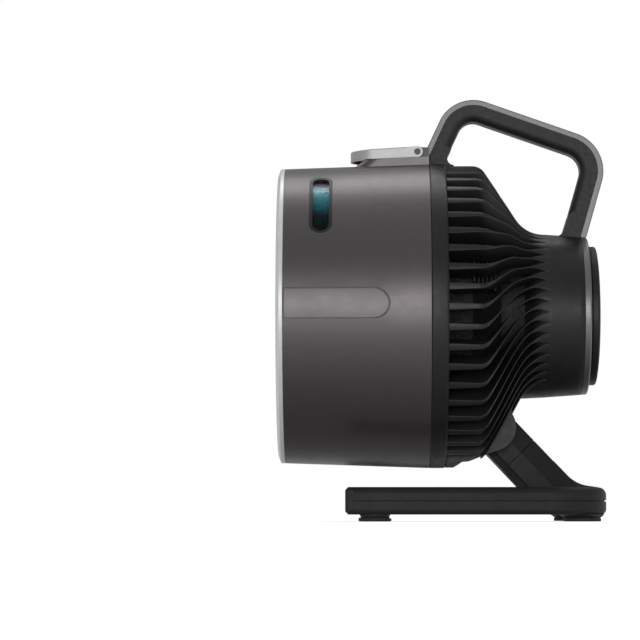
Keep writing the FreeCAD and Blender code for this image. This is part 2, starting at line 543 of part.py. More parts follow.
# ---- controls on the back -----------------------------------------------------------------------------
def controls():
    """The turning dial, the panel inside it, two buttons, the light bar and the board."""
    dial = turned([(DIAL_Y0, DIAL_BORE), (DIAL_Y0, 51.4), (112.0, DIAL_R, "arc"), (113.0, DIAL_R),
                   (115.4, DIAL_R), (116.4, 51.3, "arc"), (DIAL_Y1, 49.8), (117.6, 43.6, "arc"),
                   (117.2, DIAL_BORE)])
    skirt = turned([(106.4, 48.6), (106.4, 50.6), (112, 50.6), (112, 48.6)])
    dial = dial.fuse(skirt)
    dimple = Part.makeSphere(14.0, polar(DIAL_Y1 + 12.4, 44.0, 90))
    keep("speed_dial", dial.cut(dimple))
    body = turned([(104.0, 0), (104.0, 53.18), (109.6, 53.18), (109.6, 51.0), (105.8, 51.0), (105.8, 48.2),
                   (110.4, 48.2), (110.4, PANEL_R), (116.6, PANEL_R), (117.3, 35.8, "arc"), (117.4, 34.4),
                   (116.4, 0)])
    hollow = turned([(103, 0), (103, 46.0), (108.0, 46.0), (108.0, 34.4), (114.6, 34.4), (114.6, 0)])
    body = body.cut(hollow)
    holes = [rod(BUTTON_R + GAP, V(0, 100, AXIS_Z + s * BUTTON_Z), V(0, 120, AXIS_Z + s * BUTTON_Z))
             for s in (-1, 1)]
    lens = wrapped_lens(0.0)
    keep("control_panel", body.cut(holes + [lens]))
    keep("level_lights", wrapped_lens(0.05))
    for name, s in (("power_button", 1), ("mist_button", -1)):
        z = AXIS_Z + s * BUTTON_Z
        cap = rod(BUTTON_R, V(0, 110.0, z), V(0, 117.0, z))
        cap = soften(cap, 0.9, lambda e: abs(e.CenterOfMass.y - 117.0) < 0.01)
        cap = cap.cut(Part.makeSphere(40, V(0, 117.0 + 39.5, z)))
        stem = rod(2.0, V(0, 101.9, z), V(0, 110.5, z))
        flange = rod(BUTTON_R + 1.6, V(0, 112.3, z), V(0, 114.3, z))
        keep(name, cap.fuse([flange, stem]))
    board = rod(44.0, V(0, 96.4, AXIS_Z), V(0, 98.0, AXIS_Z))
    chips = [box(-18, -6, 98.0, 99.4, AXIS_Z - 6, AXIS_Z + 6), box(14, 22, 98.0, 99.2, AXIS_Z - 20, AXIS_Z - 8),
             box(-30, -22, 98.0, 100.6, AXIS_Z + 12, AXIS_Z + 20)]
    keep("control_board", board.fuse(chips))
    keep("tact_switches", *[rod(3.4, V(0, 98.02, AXIS_Z + s * BUTTON_Z), V(0, 101.2, AXIS_Z + s * BUTTON_Z))
                            for s in (-1, 1)])


def wrapped_lens(gap):
    """The slim curved light bar on the panel, above the buttons."""
    return turned([(112.0, 26.4 + gap), (112.0, 29.2 - gap), (117.15, 29.2 - gap), (117.05, 26.4 + gap)],
                  62.0 + gap, 118.0 - gap)


def charging():
    """The charging socket in the side of the tube, and the flap over it on its pin."""
    z = AXIS_Z
    socket = box(-58.6, -52.0, PORT_Y - 4.5, PORT_Y + 4.5, z - 1.6, z + 1.6)
    mouth = box(-60.0, -53.2, PORT_Y - 4.1, PORT_Y + 4.1, z - 1.2, z + 1.2)
    tongue = box(-58.2, -53.4, PORT_Y - 3.3, PORT_Y + 3.3, z - 0.35, z + 0.35)
    seat = box(-57.4, -50.0, PORT_Y - 9.2, PORT_Y + 9.2, z - 5.2, z + 5.2)
    hole = box(-62, -52.0, PORT_Y - 4.55, PORT_Y + 4.55, z - 1.65, z + 1.65)
    pocket = box(-58.4, -55.2, PORT_Y - 9.4, PORT_Y - 5.4, z - 6, z + 6)
    keep("charge_socket", socket.cut(mouth).fuse(tongue))
    hinge_y, hinge_x = PORT_Y - 7.6, -57.2
    lugs = []
    for z0 in (z - 5.2, z + 3.2):
        lugs.append(rod(1.4, V(hinge_x, hinge_y, z0), V(hinge_x, hinge_y, z0 + 2)))
        lugs.append(box(hinge_x, -54.9, hinge_y - 1.4, hinge_y + 1.4, z0, z0 + 2))
    pin_hole = rod(0.85, V(hinge_x, hinge_y, z - 7), V(hinge_x, hinge_y, z + 7))
    keep("charge_seat", seat.cut([hole, pocket]).fuse(lugs).cut(pin_hole))
    flap = box(-60.2, -58.9, hinge_y - 0.9, PORT_Y + 9.0, z - 5.0, z + 5.0)
    knuckle = rod(1.5, V(hinge_x, hinge_y, z - 2.9), V(hinge_x, hinge_y, z + 2.9))
    web = box(-59.0, -57.2, hinge_y - 0.9, hinge_y + 1.4, z - 2.9, z + 2.9)
    flap = flap.fuse([knuckle, web]).cut(rod(0.82, V(hinge_x, hinge_y, z - 7), V(hinge_x, hinge_y, z + 7)))
    keep("charge_flap", flap)
    keep("charge_flap_pin", rod(0.8, V(hinge_x, hinge_y, z - 5.1), V(hinge_x, hinge_y, z + 5.1)))


# ---- motor, impeller and battery ----------------------------------------------------------------------
def battery():
    """The battery can, the cells in their two end plates and the links between them."""
    keep("battery_can", turned([(CAN_Y0, 0), (CAN_Y0, CAN_R - 2), (CAN_Y0 + 2, CAN_R), (CAN_Y1, CAN_R),
                                (CAN_Y1, CAN_R - 2.2), (CAN_Y0 + 3, CAN_R - 2.2), (CAN_Y0 + 3, 0)]))
    spots = [V(0, 0, AXIS_Z)]
    spots += [V(22.4 * math.cos(math.radians(60 * k)), 0, AXIS_Z + 22.4 * math.sin(math.radians(60 * k)))
              for k in range(6)]
    cells, holes = [], []
    for spot in spots:
        cells.append(rod(9.1, spot + Y_DIR * 16.0, spot + Y_DIR * 81.0).fuse(
            rod(3.2, spot + Y_DIR * 81.0, spot + Y_DIR * 82.2)))
        holes.append(rod(9.12, spot + Y_DIR * 15.9, spot + Y_DIR * 81.1))
        holes.append(rod(7.0, spot, spot + Y_DIR * 100))
    keep("battery_cells", *cells)
    keep("cell_holders", *[rod(CAN_R - 2.4, V(0, y, AXIS_Z), V(0, y + 14.0, AXIS_Z)).cut(holes)
                           for y in (12.0, 68.2)])
    links = [box(-half, half, 82.22, 82.7, AXIS_Z + z - 3.4, AXIS_Z + z + 3.4)
             for half, z in ((24, 0), (13, -19.4), (13, 19.4))]
    keep("cell_links", *links)


def motor():
    """The motor's mount and stator with two bearings; the rotor, shaft and nut turn with the impeller."""
    mount = turned([(-6.0, 9.1), (-6.0, 26.0), (CAN_Y0 - SEAT, 34.0), (CAN_Y0 - SEAT, 8.6), (-1.6, 8.6),
                    (-1.6, 8.02), (-4.0, 8.02), (-4.0, 5.2), (-8.0, 5.2), (-33.0, 5.2), (-33.0, 6.0),
                    (-33.0, 9.1)])
    seats = [rod(8.02, V(0, y, AXIS_Z), V(0, y + 5.0, AXIS_Z)) for y in (-33.1, -4.0)]
    keep("motor_mount", mount.cut(seats))
    keep("motor_bearings", *[ring(8.0, 4.04, V(0, y, AXIS_Z), V(0, y + 4.9, AXIS_Z))
                             for y in (-33.0, -3.9)])
    stator = ring(MOTOR_R, 9.14, V(0, -27.0, AXIS_Z), V(0, -11.0, AXIS_Z))
    slots = []
    for k in range(12):
        slot = box(-1.1, 1.1, -28.0, -10.0, AXIS_Z + MOTOR_R - 1.6, AXIS_Z + MOTOR_R + 2)
        wide = box(-2.3, 2.3, -28.0, -10.0, AXIS_Z + 13.6, AXIS_Z + MOTOR_R - 1.5)
        slots.append(around(slot.fuse(wide), 30 * k))
    keep("motor_stator", stator.cut(slots))


def impeller():
    """The seven-bladed impeller, with the rotor can, the shaft and the nut that hold it."""
    hub = turned([(-74.0, 4.02), (-74.0, 16.0), (-68.0, 27.0, "arc"), (-58.0, 31.0), (-10.0, 31.0),
                  (-10.0, 28.2), (-38.0, 28.2), (-38.0, 9.0), (-46.0, 9.0), (-46.0, 4.02)])
    blades = []
    for k in range(7):
        wires = []
        for r, chord, pitch, lead in ((29.5, 44.0, 52.0, 0.0), (48.0, 50.0, 42.0, 5.0), (68.0, 54.0, 34.0, 13.0),
                                      (90.0, 58.0, 28.0, 24.0)):
            a, p = math.radians(lead), math.radians(pitch)
            centre = V(r * math.sin(a), -45.0, AXIS_Z + r * math.cos(a))
            across = V(math.cos(a), 0, -math.sin(a))
            along = across * math.cos(p) + Y_DIR * math.sin(p)
            normal = across * -math.sin(p) + Y_DIR * math.cos(p)
            outline = [(-0.5, 0.0), (-0.25, 1.6), (0.0, 2.4), (0.3, 1.5), (0.5, 0.1), (0.5, -0.5), (0.25, 0.0),
                       (0.0, 0.5), (-0.25, -0.2), (-0.5, -0.9)]
            points = [centre + along * (c * chord * 0.8) + normal * (t - 3.2 * (0.25 - c * c) * 4 * 0.5)
                      for c, t in outline]
            wires.append(Part.makePolygon(points + points[:1]))
        blade = Part.makeLoft(wires, True, True)
        blades.append(around(blade, 360.0 / 7 * k))
    sweep = turned([(-90, 29.4), (-90, 86.4), (-14, 86.4), (-14, 29.4)])
    keep("impeller", hub.fuse([b.common(sweep) for b in blades]))
    can = turned([(-37.9, 4.02), (-37.9, 28.1), (-9.0, 28.1), (-9.0, 25.4), (-35.6, 25.4), (-35.6, 4.02)])
    keep("rotor_can", can)
    magnets = [around(turned([(-28.0, 22.7), (-28.0, 25.38), (-11.0, 25.38), (-11.0, 22.7)], 2, 24), 26 * k)
               for k in range(13)]
    keep("rotor_magnets", *magnets)
    shaft = rod(4.0, V(0, -80.0, AXIS_Z), V(0, 1.2, AXIS_Z))
    keep("motor_shaft", shaft)
    nut = Part.Face(Part.makePolygon([polar(-79.6, 8.0, 60 * k) for k in range(7)])).extrude(V(0, 5.5, 0))
    keep("impeller_nut", nut.cut(rod(4.02, V(0, -90, AXIS_Z), V(0, -60, AXIS_Z))))


def mist_line():
    """The pump under the duct, its feed from the tank and the line up to the nozzle."""
    z = AXIS_Z - HOSE_R
    pump = rod(6.6, V(0, -52.0, z), V(0, -24.0, z)).fuse(rod(4.4, V(0, -58.0, z), V(0, -51.0, z)))
    cradle = box(-9.0, 9.0, -50.0, -28.0, z - 9.0, z + 2.0).cut(rod(6.62, V(0, -60, z), V(0, -20, z)))
    trim = turned([(-60, 91.5), (-60, 107.2), (-20, 107.2), (-20, 91.5)])
    inlet = rod(2.2, V(2.0, -54.6, z), V(9.0, -54.6, z))
    keep("water_pump", pump.fuse(inlet))
    keep("pump_cradle", cradle.common(trim))
    keep("feed_hose", turned([(-56.6, HOSE_R - 2.0), (-52.6, HOSE_R - 2.0), (-52.6, HOSE_R + 2.0),
                              (-56.6, HOSE_R + 2.0)], -84.7, TANK_LOW - 0.05))
    route = [V(0, -58.05, z), V(0, HOSE_END_Y, z), V(0, HOSE_END_Y, AXIS_Z - 8.65)]
    keep("mist_hose", tube_along(route, 1.7))


# ---- stand --------------------------------------------------------------------------------------------
def base_plan(inset, front):
    """The stand's outline from above: a U open to the front, with a deeper middle for the arm."""
    half, leg, rear = BASE_HALF - inset, BASE_HALF - LEG_W + inset, BASE_REAR_Y - inset
    cross, root, root_half = CROSS_Y + inset, ROOT_Y + inset, ROOT_HALF - inset
    corner, inner = CORNER_R - inset, 18.0 + inset
    right = [(half, front, 0), (half, rear, corner), (-half, rear, corner), (-half, front, 0),
             (-leg, front, 0), (-leg, cross, inner), (-root_half, cross, 4), (-root_half, root, 4),
             (root_half, root, 4), (root_half, cross, 4), (leg, cross, inner), (leg, front, 0)]
    return right


def base_shells():
    """The upper and lower shells of the stand, hollow, parted by a groove."""
    top = plate(base_plan(0, CAP_Y), BASE_SEAM + 0.5, BASE_TOP)
    top = soften(top, 6.0, lambda e: abs(e.CenterOfMass.z - BASE_TOP) < 0.01
                 and e.CenterOfMass.y > CAP_Y + 0.5)
    lip = plate(base_plan(1.2, CAP_Y), BASE_SEAM - 0.5, BASE_SEAM + 0.6)
    hollow = plate(base_plan(3.0, CAP_Y + 3.0), 0, BASE_TOP - 2.6)
    pillars = [rod(4.0, V(s * x, y, 13.2), V(s * x, y, BASE_TOP - 2.0)) for x, y in BASE_SCREWS
               for s in (-1, 1)]
    top = top.fuse(lip).cut(hollow).fuse(pillars)
    keep("base_upper_shell", top.cut([arm_space(0.0)] + base_screw_holes(1.52, 21.0)))
    bottom = plate(base_plan(0, CAP_Y), BASE_BOTTOM, BASE_SEAM - 0.52)
    bottom = soften(bottom, 4.0, lambda e: abs(e.CenterOfMass.z - BASE_BOTTOM) < 0.01
                    and e.CenterOfMass.y > CAP_Y + 0.5)
    inner = plate(base_plan(3.0, CAP_Y + 3.0), BASE_BOTTOM + 2.4, 60)
    bosses = [Part.makeCone(foot, head, BASE_BOTTOM + 0.5 - PAD_T, V(s * x, y, PAD_T + SEAT))
              for (x, y, r), (foot, head) in zip(FEET, BOSSES) for s in (-1, 1)]
    within = plate(base_plan(1.0, CAP_Y + 1.0), 0, BASE_BOTTOM + 1.0)
    pillars = [rod(4.4, V(s * x, y, BASE_BOTTOM + 0.5), V(s * x, y, 13.1)) for x, y in BASE_SCREWS
               for s in (-1, 1)]
    bottom = bottom.cut(inner).fuse([boss.common(within) for boss in bosses] + pillars)
    keep("base_lower_shell", bottom.cut(base_screw_holes(1.6, 21.0) + base_screw_holes(3.0, 9.02)))


def base_screw_holes(radius, top):
    """Holes for the four screws that hold the stand's shells together."""
    return [rod(radius, V(s * x, y, -1), V(s * x, y, top)) for x, y in BASE_SCREWS for s in (-1, 1)]


def arm_section(along0, along1, low, high, half_low, half_high):
    """A bar along the arm with a trapezoid section: heights and half widths across the arm's slope."""
    a = math.radians(ARM_SLOPE)
    down = V(0, math.cos(a), -math.sin(a))
    up = V(0, math.sin(a), math.cos(a))
    start = PIVOT + down * along0
    corners = [start + up * low + X_DIR * half_low, start + up * high + X_DIR * half_high,
               start + up * high - X_DIR * half_high, start + up * low - X_DIR * half_low]
    return Part.Face(Part.makePolygon(corners + corners[:1])).extrude(down * (along1 - along0))


def arm_space(gap):
    """The opening in the stand's deck that the arm's root drops into."""
    return box(-ROOT_HALF + 6 - gap, ROOT_HALF - 6 + gap, 73.4 - gap, 114.0 + gap, 8, 40)


def arm():
    """The sloping arm: a head with the knuckle, a lower part rooted in the stand, covers and core."""
    seam, shoulder, step = 29.2, 2.8, -10.4
    head = arm_section(0, seam - 0.4, step, shoulder, ARM_HALF, ARM_HALF)
    head = head.fuse([arm_section(0, seam - 0.4, shoulder - 0.01, ARM_TOP, ARM_HALF, ARM_CREST),
                      rod(KNUCKLE_R, PIVOT - X_DIR * ARM_HALF, PIVOT + X_DIR * ARM_HALF)])
    bore = rod(PIN_R + SEAT, PIVOT - X_DIR * 40, PIVOT + X_DIR * 40)
    core = arm_section(10, 72, -5.0, 2.0, 9.0, 9.0)
    cover_room = arm_section(11.8, 80, -40, step - 0.02, 30, 30)
    keep("arm_head", head.cut([bore, core, cover_room]))
    low = arm_section(seam, 76, step, shoulder, ARM_HALF, ARM_HALF)
    low = low.fuse(arm_section(seam, 76, shoulder - 0.01, ARM_TOP, ARM_HALF, ARM_CREST))
    flare = side_plate([(84.6, 44.6, 0), (100.9, 27.6, 26), (117.8, 25.2, 0), (117.8, 11.0, 0),
                        (80.0, 11.0, 0)], ARM_CREST)
    floor = box(-60, 60, 40, 140, -40, 11.0)
    behind = box(-60, 60, 113.8, 200, -40, 25.05)
    ahead = box(-60, 60, 0, 73.6, -40, 25.05)
    keep("arm_lower", low.fuse(flare).cut([floor, behind, ahead, core]))
    cover = arm_section(12.0, 62.0, ARM_UNDER, -11.5, 17.0, 18.6)
    cover = cover.fuse(arm_section(12.0, 62.0, -11.55, step - 0.04, 16.4, 16.4))
    keep("arm_underside_cover", cover.cut(box(-60, 60, 0, 200, -60, 25.4)))
    keep("arm_core", arm_section(10.02, 71.9, -4.98, 1.98, 8.98, 8.98))


def stand_small_parts():
    """End plugs, pads, ballast, screws, and the pivot pin with its washers."""
    plug = box(BASE_HALF - LEG_W, BASE_HALF, LEG_FRONT_Y, CAP_Y - 0.05, BASE_BOTTOM, BASE_TOP)
    plug = soften(plug, 4.0, lambda e: abs(e.Vertexes[0].Point.y - e.Vertexes[-1].Point.y) > 3)
    plug = plug.makeChamfer(2.2, [e for e in plug.Edges if e.CenterOfMass.y < LEG_FRONT_Y + 0.1])
    keep("end_plugs", *both_sides(plug))
    front, rear = FEET
    for name, (x, y, r) in (("front_pads", front), ("rear_pads", rear)):
        pad = rod(r, V(x, y, 0), V(x, y, PAD_T))
        pad = pad.makeChamfer(0.6, [e for e in pad.Edges if abs(e.CenterOfMass.z) < 0.01])
        keep(name, *both_sides(pad))
    keep("base_ballast", *both_sides(box(63.0, 73.0, -12.0, 66.0, BASE_BOTTOM + 2.42, 13.8)))
    keep("base_screws", *[screw(V(s * x, y, 18.0), V(0, 0, -1), 9.0) for x, y in BASE_SCREWS
                          for s in (-1, 1)])
    pin = rod(PIN_R, PIVOT - X_DIR * 28.0, PIVOT + X_DIR * 28.0)
    keep("tilt_pin", pin)
    keep("friction_washers", *both_sides(ring(12.0, PIN_R + 0.05, PIVOT + X_DIR * (ARM_HALF + 0.02),
                                              PIVOT + X_DIR * (EAR_IN - 0.1))))


front_shell()
shell_trim()
front_ring()
front_grille()
nozzle()
tank()
duct()
rear_housing()
tilt_bracket()
rear_ring()
handle()
lid()
controls()
charging()
battery()
motor()
impeller()
mist_line()
base_shells()
arm()
stand_small_parts()

os.makedirs("parts", exist_ok=True)
for name, shape in parts.items():
    shape.exportStep("parts/" + name + ".step")
    print(name, len(shape.Solids), shape.isValid(), round(shape.Volume / 1000.0, 2))
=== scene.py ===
"""Looks of a cordless misting fan: all materials, the camera and the lights, and the visual meshes.

The meshes are the rear cage with its vanes, the parts that show between the vanes, and the badge plates.
The scene is in metres in the frame of the CAD model: +Z up, the fan blows towards -Y, the floor is at 0.
Profiles and stations of the visual meshes are in mm.
"""
import math

import bmesh
import bpy
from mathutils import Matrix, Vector
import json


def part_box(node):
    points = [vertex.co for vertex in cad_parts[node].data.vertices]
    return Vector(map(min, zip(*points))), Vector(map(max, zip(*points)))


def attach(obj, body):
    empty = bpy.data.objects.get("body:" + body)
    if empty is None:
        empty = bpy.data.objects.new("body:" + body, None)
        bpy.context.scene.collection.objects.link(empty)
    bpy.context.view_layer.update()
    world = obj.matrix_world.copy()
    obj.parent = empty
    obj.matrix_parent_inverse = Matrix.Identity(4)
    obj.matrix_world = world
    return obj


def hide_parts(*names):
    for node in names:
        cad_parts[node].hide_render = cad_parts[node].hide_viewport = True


MM = 0.001

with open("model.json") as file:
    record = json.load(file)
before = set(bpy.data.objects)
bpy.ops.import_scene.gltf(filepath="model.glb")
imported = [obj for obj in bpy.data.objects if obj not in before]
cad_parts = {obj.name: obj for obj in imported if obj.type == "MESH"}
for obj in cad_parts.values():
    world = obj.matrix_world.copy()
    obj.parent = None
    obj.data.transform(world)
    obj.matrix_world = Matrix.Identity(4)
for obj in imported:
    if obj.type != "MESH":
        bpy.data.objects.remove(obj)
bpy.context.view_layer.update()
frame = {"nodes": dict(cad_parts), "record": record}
nodes = frame["nodes"]


# ---- places taken from the frame ----------------------------------------------------------------------
def middle(node):
    """Middle of a CAD node's box."""
    low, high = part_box(node)
    return (Vector(low) + Vector(high)) / 2


def corners(node):
    """Lowest and highest corner of a CAD node's box."""
    return [Vector(corner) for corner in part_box(node)]


seat_low, seat_high = corners("charge_seat")
grip_high = corners("handle_grip")[1]
bracket_high = corners("tilt_bracket")[1]
AXIS_Z = middle("speed_dial").z
CAN_R = corners("battery_can")[1].x


# ---- materials ----------------------------------------------------------------------------------------
class Shader:
    """A node material that is built step by step round one Principled shader."""

    def __init__(self, name, color, roughness, metallic=0.0, **sockets):
        self.material = bpy.data.materials.new(name)
        self.material.use_nodes = True
        self.tree = self.material.node_tree
        self.bsdf = self.tree.nodes["Principled BSDF"]
        self.bsdf.inputs["Base Color"].default_value = (*color, 1)
        self.bsdf.inputs["Roughness"].default_value = roughness
        self.bsdf.inputs["Metallic"].default_value = metallic
        for socket, value in sockets.items():
            self.bsdf.inputs[socket.replace("_", " ")].default_value = value
        self.place = self.node("ShaderNodeTexCoord").outputs["Object"]
        self.color = color
        self.normal = None

    def node(self, kind, **settings):
        made = self.tree.nodes.new(kind)
        for key, value in settings.items():
            setattr(made, key, value)
        return made

    def link(self, source, target):
        self.tree.links.new(source, target)

    def noise(self, size, detail=3.0, stretch=(1, 1, 1), distortion=0.0):
        """Noise whose features are about that size in metres."""
        mapping = self.node("ShaderNodeMapping")
        mapping.inputs["Scale"].default_value = stretch
        self.link(self.place, mapping.inputs["Vector"])
        noise = self.node("ShaderNodeTexNoise")
        noise.inputs["Scale"].default_value = 1.0 / size
        noise.inputs["Detail"].default_value = detail
        noise.inputs["Distortion"].default_value = distortion
        self.link(mapping.outputs["Vector"], noise.inputs["Vector"])
        return noise.outputs["Fac"]

    def spread(self, source, low, high, start=0.3, end=0.7):
        """Maps a value from start..end to low..high."""
        ranged = self.node("ShaderNodeMapRange")
        for socket, value in (("From Min", start), ("From Max", end), ("To Min", low), ("To Max", high)):
            ranged.inputs[socket].default_value = value
        self.link(source, ranged.inputs["Value"])
        return ranged.outputs["Result"]

    def tint(self, source, dark, light):
        """Varies the colour between two shares of the base colour."""
        mix = self.node("ShaderNodeMix", data_type="RGBA")
        mix.inputs["A"].default_value = (*[c * dark for c in self.color], 1)
        mix.inputs["B"].default_value = (*[min(1.0, c * light) for c in self.color], 1)
        self.link(source, mix.inputs["Factor"])
        self.link(mix.outputs["Result"], self.bsdf.inputs["Base Color"])
        return self

    def rough(self, source, low, high):
        """Varies the roughness between two values."""
        self.link(self.spread(source, low, high), self.bsdf.inputs["Roughness"])
        return self

    def bump(self, source, height):
        """Adds relief with that height in metres."""
        bump = self.node("ShaderNodeBump")
        bump.inputs["Strength"].default_value = 1.0
        bump.inputs["Distance"].default_value = height
        self.link(source, bump.inputs["Height"])
        if self.normal is not None:
            self.link(self.normal, bump.inputs["Normal"])
        self.normal = bump.outputs["Normal"]
        self.link(self.normal, self.bsdf.inputs["Normal"])
        return self

    def soft_edges(self, radius):
        """Rounds the edges a little for the light."""
        bevel = self.node("ShaderNodeBevel", samples=4)
        bevel.inputs["Radius"].default_value = radius
        self.normal = bevel.outputs["Normal"]
        self.link(self.normal, self.bsdf.inputs["Normal"])
        return self


def moulded(name, color, roughness, grain=0.35 * MM, relief=0.010 * MM, **sockets):
    """Moulded plastic with a fine spark-eroded grain, faint flow marks and softened edges."""
    s = Shader(name, color, roughness, **sockets)
    s.soft_edges(0.25 * MM)
    cloud = s.noise(28 * MM, 3.0)
    s.tint(s.spread(cloud, 0.0, 1.0), 0.88, 1.12)
    s.rough(s.noise(6 * MM, 4.0), roughness - 0.05, roughness + 0.06)
    s.bump(s.noise(grain, 2.0), relief)
    return s


def satin_metal(name, color, roughness, stretch=(1, 1, 1), metallic=0.85):
    """Satin metal or metallic paint with very fine lines or specks."""
    s = Shader(name, color, roughness, metallic)
    s.soft_edges(0.2 * MM)
    s.tint(s.spread(s.noise(20 * MM, 2.0), 0.0, 1.0), 0.95, 1.03)
    s.rough(s.noise(2 * MM, 2.0, stretch), roughness - 0.02, roughness + 0.03)
    s.bump(s.noise(0.2 * MM, 2.0, stretch), 0.001 * MM)
    return s


def metallic_shell():
    """The drum's warm grey metallic lacquer: tiny bright flakes in a dark ground."""
    s = Shader("shell_grey", (0.165, 0.150, 0.157), 0.36, metallic=0.75,
               Coat_Weight=0.1, Coat_Roughness=0.3)
    s.soft_edges(0.25 * MM)
    flakes = s.node("ShaderNodeTexVoronoi")
    flakes.inputs["Scale"].default_value = 1.0 / (0.35 * MM)
    s.link(s.place, flakes.inputs["Vector"])
    s.tint(s.spread(flakes.outputs["Distance"], 1.0, 0.0, 0.05, 0.5), 0.92, 1.22)
    s.rough(s.noise(9 * MM, 4.0), 0.33, 0.39)
    s.bump(s.noise(0.5 * MM, 2.0), 0.004 * MM)
    return s


def water_with_painted_light():
    """The filled tank behind the windows, with light painted into its colour: painted shade makes it dark
    low down and blue higher up, and painted highlights make it bright at the water's surface.
    """
    s = Shader("water", (0.03, 0.30, 0.38), 0.25, Specular_IOR_Level=0.08)
    split = s.node("ShaderNodeSeparateXYZ")
    s.link(s.place, split.inputs["Vector"])
    ripple = s.noise(5 * MM, 5.0, (1, 1, 2.4), 1.2)
    height = s.node("ShaderNodeMath", operation="MULTIPLY_ADD")
    ripple_rise = 9 * MM
    height.inputs[1].default_value = ripple_rise
    s.link(ripple, height.inputs[0])
    s.link(split.outputs["Z"], height.inputs[2])
    low, high = corners("window_panes")
    ramp = s.node("ShaderNodeValToRGB")
    middle_rise = 4.5 * MM
    # depth runs from 0 at the bottom to 1 at the top of the panes; the painted shade and highlights below
    # follow it, wobbled by the ripple.
    depth = s.spread(height.outputs["Value"], 0.0, 1.0, low.z + middle_rise, high.z + middle_rise)
    s.link(depth, ramp.inputs["Fac"])
    # Painted shade from near black at the bottom up to blue, a painted highlight line at 0.80 and a painted
    # highlight band at 0.885 along the water's surface, then the grey of the empty tank above, darker
    # towards the top.
    stops = ((0.0, (0.001, 0.002, 0.003)), (0.36, (0.002, 0.012, 0.018)), (0.56, (0.010, 0.16, 0.21)),
             (0.78, (0.05, 0.42, 0.50)), (0.80, (0.80, 1.0, 1.0)), (0.84, (0.16, 0.62, 0.72)),
             (0.885, (0.70, 0.95, 1.0)), (0.90, (0.30, 0.26, 0.29)), (1.0, (0.16, 0.13, 0.15)))
    while len(ramp.color_ramp.elements) < len(stops):
        ramp.color_ramp.elements.new(0.5)
    for element, (at, color) in zip(ramp.color_ramp.elements, stops):
        element.position = at
        element.color = (*color, 1)
    s.link(ramp.outputs["Color"], s.bsdf.inputs["Base Color"])
    s.bump(ripple, 0.3 * MM)
    return s


def clear_look():
    """Clear moulded plastic."""
    s = Shader("clear_pane", (0.96, 0.99, 1.0), 0.04, Transmission_Weight=1.0, IOR=1.10)
    s.rough(s.noise(8 * MM, 3.0), 0.02, 0.07)
    s.bump(s.noise(14 * MM, 2.0), 0.02 * MM)
    return s


def rubber(name, color, roughness=0.7):
    """Soft rubber with a dusty fine grain."""
    s = Shader(name, color, roughness, Sheen_Weight=0.15, Sheen_Roughness=0.4)
    s.soft_edges(0.3 * MM)
    s.tint(s.spread(s.noise(12 * MM, 4.0), 0.0, 1.0), 0.85, 1.18)
    s.rough(s.noise(3 * MM, 4.0), roughness - 0.06, roughness + 0.06)
    s.bump(s.noise(0.3 * MM, 3.0), 0.015 * MM)
    return s


def turned_metal(name, color, roughness):
    """Machined metal with fine turning lines."""
    return satin_metal(name, color, roughness, (1, 12, 1))


def board_look():
    """Green solder mask over faint copper tracks."""
    s = Shader("board_green", (0.015, 0.10, 0.045), 0.35, Coat_Weight=0.5, Coat_Roughness=0.15)
    tracks = s.node("ShaderNodeTexBrick")
    tracks.inputs["Scale"].default_value = 160.0
    s.link(s.place, tracks.inputs["Vector"])
    s.tint(tracks.outputs["Fac"], 0.8, 1.6)
    s.rough(s.noise(4 * MM), 0.28, 0.42)
    s.bump(tracks.outputs["Fac"], 0.03 * MM)
    return s


def lens_look():
    """Frosted light bar, faintly lit."""
    s = Shader("light_lens", (0.62, 0.86, 0.90), 0.3, Emission_Strength=0.35)
    s.bsdf.inputs["Emission Color"].default_value = (0.45, 0.85, 0.95, 1)
    s.tint(s.spread(s.noise(2 * MM), 0.0, 1.0), 0.9, 1.05)
    s.bump(s.noise(0.4 * MM), 0.01 * MM)
    return s


BLACK = (0.016, 0.016, 0.0175)
LOOKS = {
    "shell_grey": metallic_shell(),
    "shell_black": moulded("shell_black", BLACK, 0.42),
    "bright_silver": satin_metal("bright_silver", (0.97, 0.97, 0.96), 0.34, metallic=0.25),
    "trim_grey": satin_metal("trim_grey", (0.30, 0.29, 0.285), 0.36),
    "grille_black": moulded("grille_black", BLACK, 0.40),
    "clear_pane": clear_look(),
    "inner_black": moulded("inner_black", (0.012, 0.012, 0.013), 0.55),
    "impeller_grey": moulded("impeller_grey", (0.05, 0.05, 0.055), 0.40),
    "dial_black": moulded("dial_black", (0.014, 0.014, 0.015), 0.45, 0.5 * MM, 0.02 * MM),
    "panel_gloss": moulded("panel_gloss", (0.010, 0.010, 0.012), 0.16, relief=0.002 * MM),
    "button_grey": moulded("button_grey", (0.11, 0.11, 0.115), 0.42),
    "light_lens": lens_look(),
    "steel": turned_metal("steel", (0.55, 0.55, 0.56), 0.28),
    "dark_steel": turned_metal("dark_steel", (0.10, 0.10, 0.105), 0.38),
    "cell_wrap": moulded("cell_wrap", (0.03, 0.16, 0.36), 0.28, relief=0.003 * MM),
    "nickel": turned_metal("nickel", (0.62, 0.60, 0.56), 0.25),
    "board_green": board_look(),
    "copper_core": turned_metal("copper_core", (0.40, 0.17, 0.08), 0.38),
    "magnet": turned_metal("magnet", (0.25, 0.25, 0.26), 0.35),
    "rubber_black": rubber("rubber_black", (0.018, 0.018, 0.018)),
    "silicone": rubber("silicone", (0.45, 0.47, 0.47), 0.5),
    "soft_grip": rubber("soft_grip", (0.017, 0.017, 0.018), 0.5),
    "ballast_iron": satin_metal("ballast_iron", (0.10, 0.10, 0.11), 0.6),
    "brass": turned_metal("brass", (0.60, 0.42, 0.16), 0.3),
    "base_black": moulded("base_black", (0.028, 0.028, 0.029), 0.46, Specular_IOR_Level=0.2),
}
LOOKS["tank_clear"] = water_with_painted_light()


def dress(piece, slot):
    """Gives an object the material of one slot."""
    piece.data.materials.clear()
    piece.data.materials.append(LOOKS[slot].material)


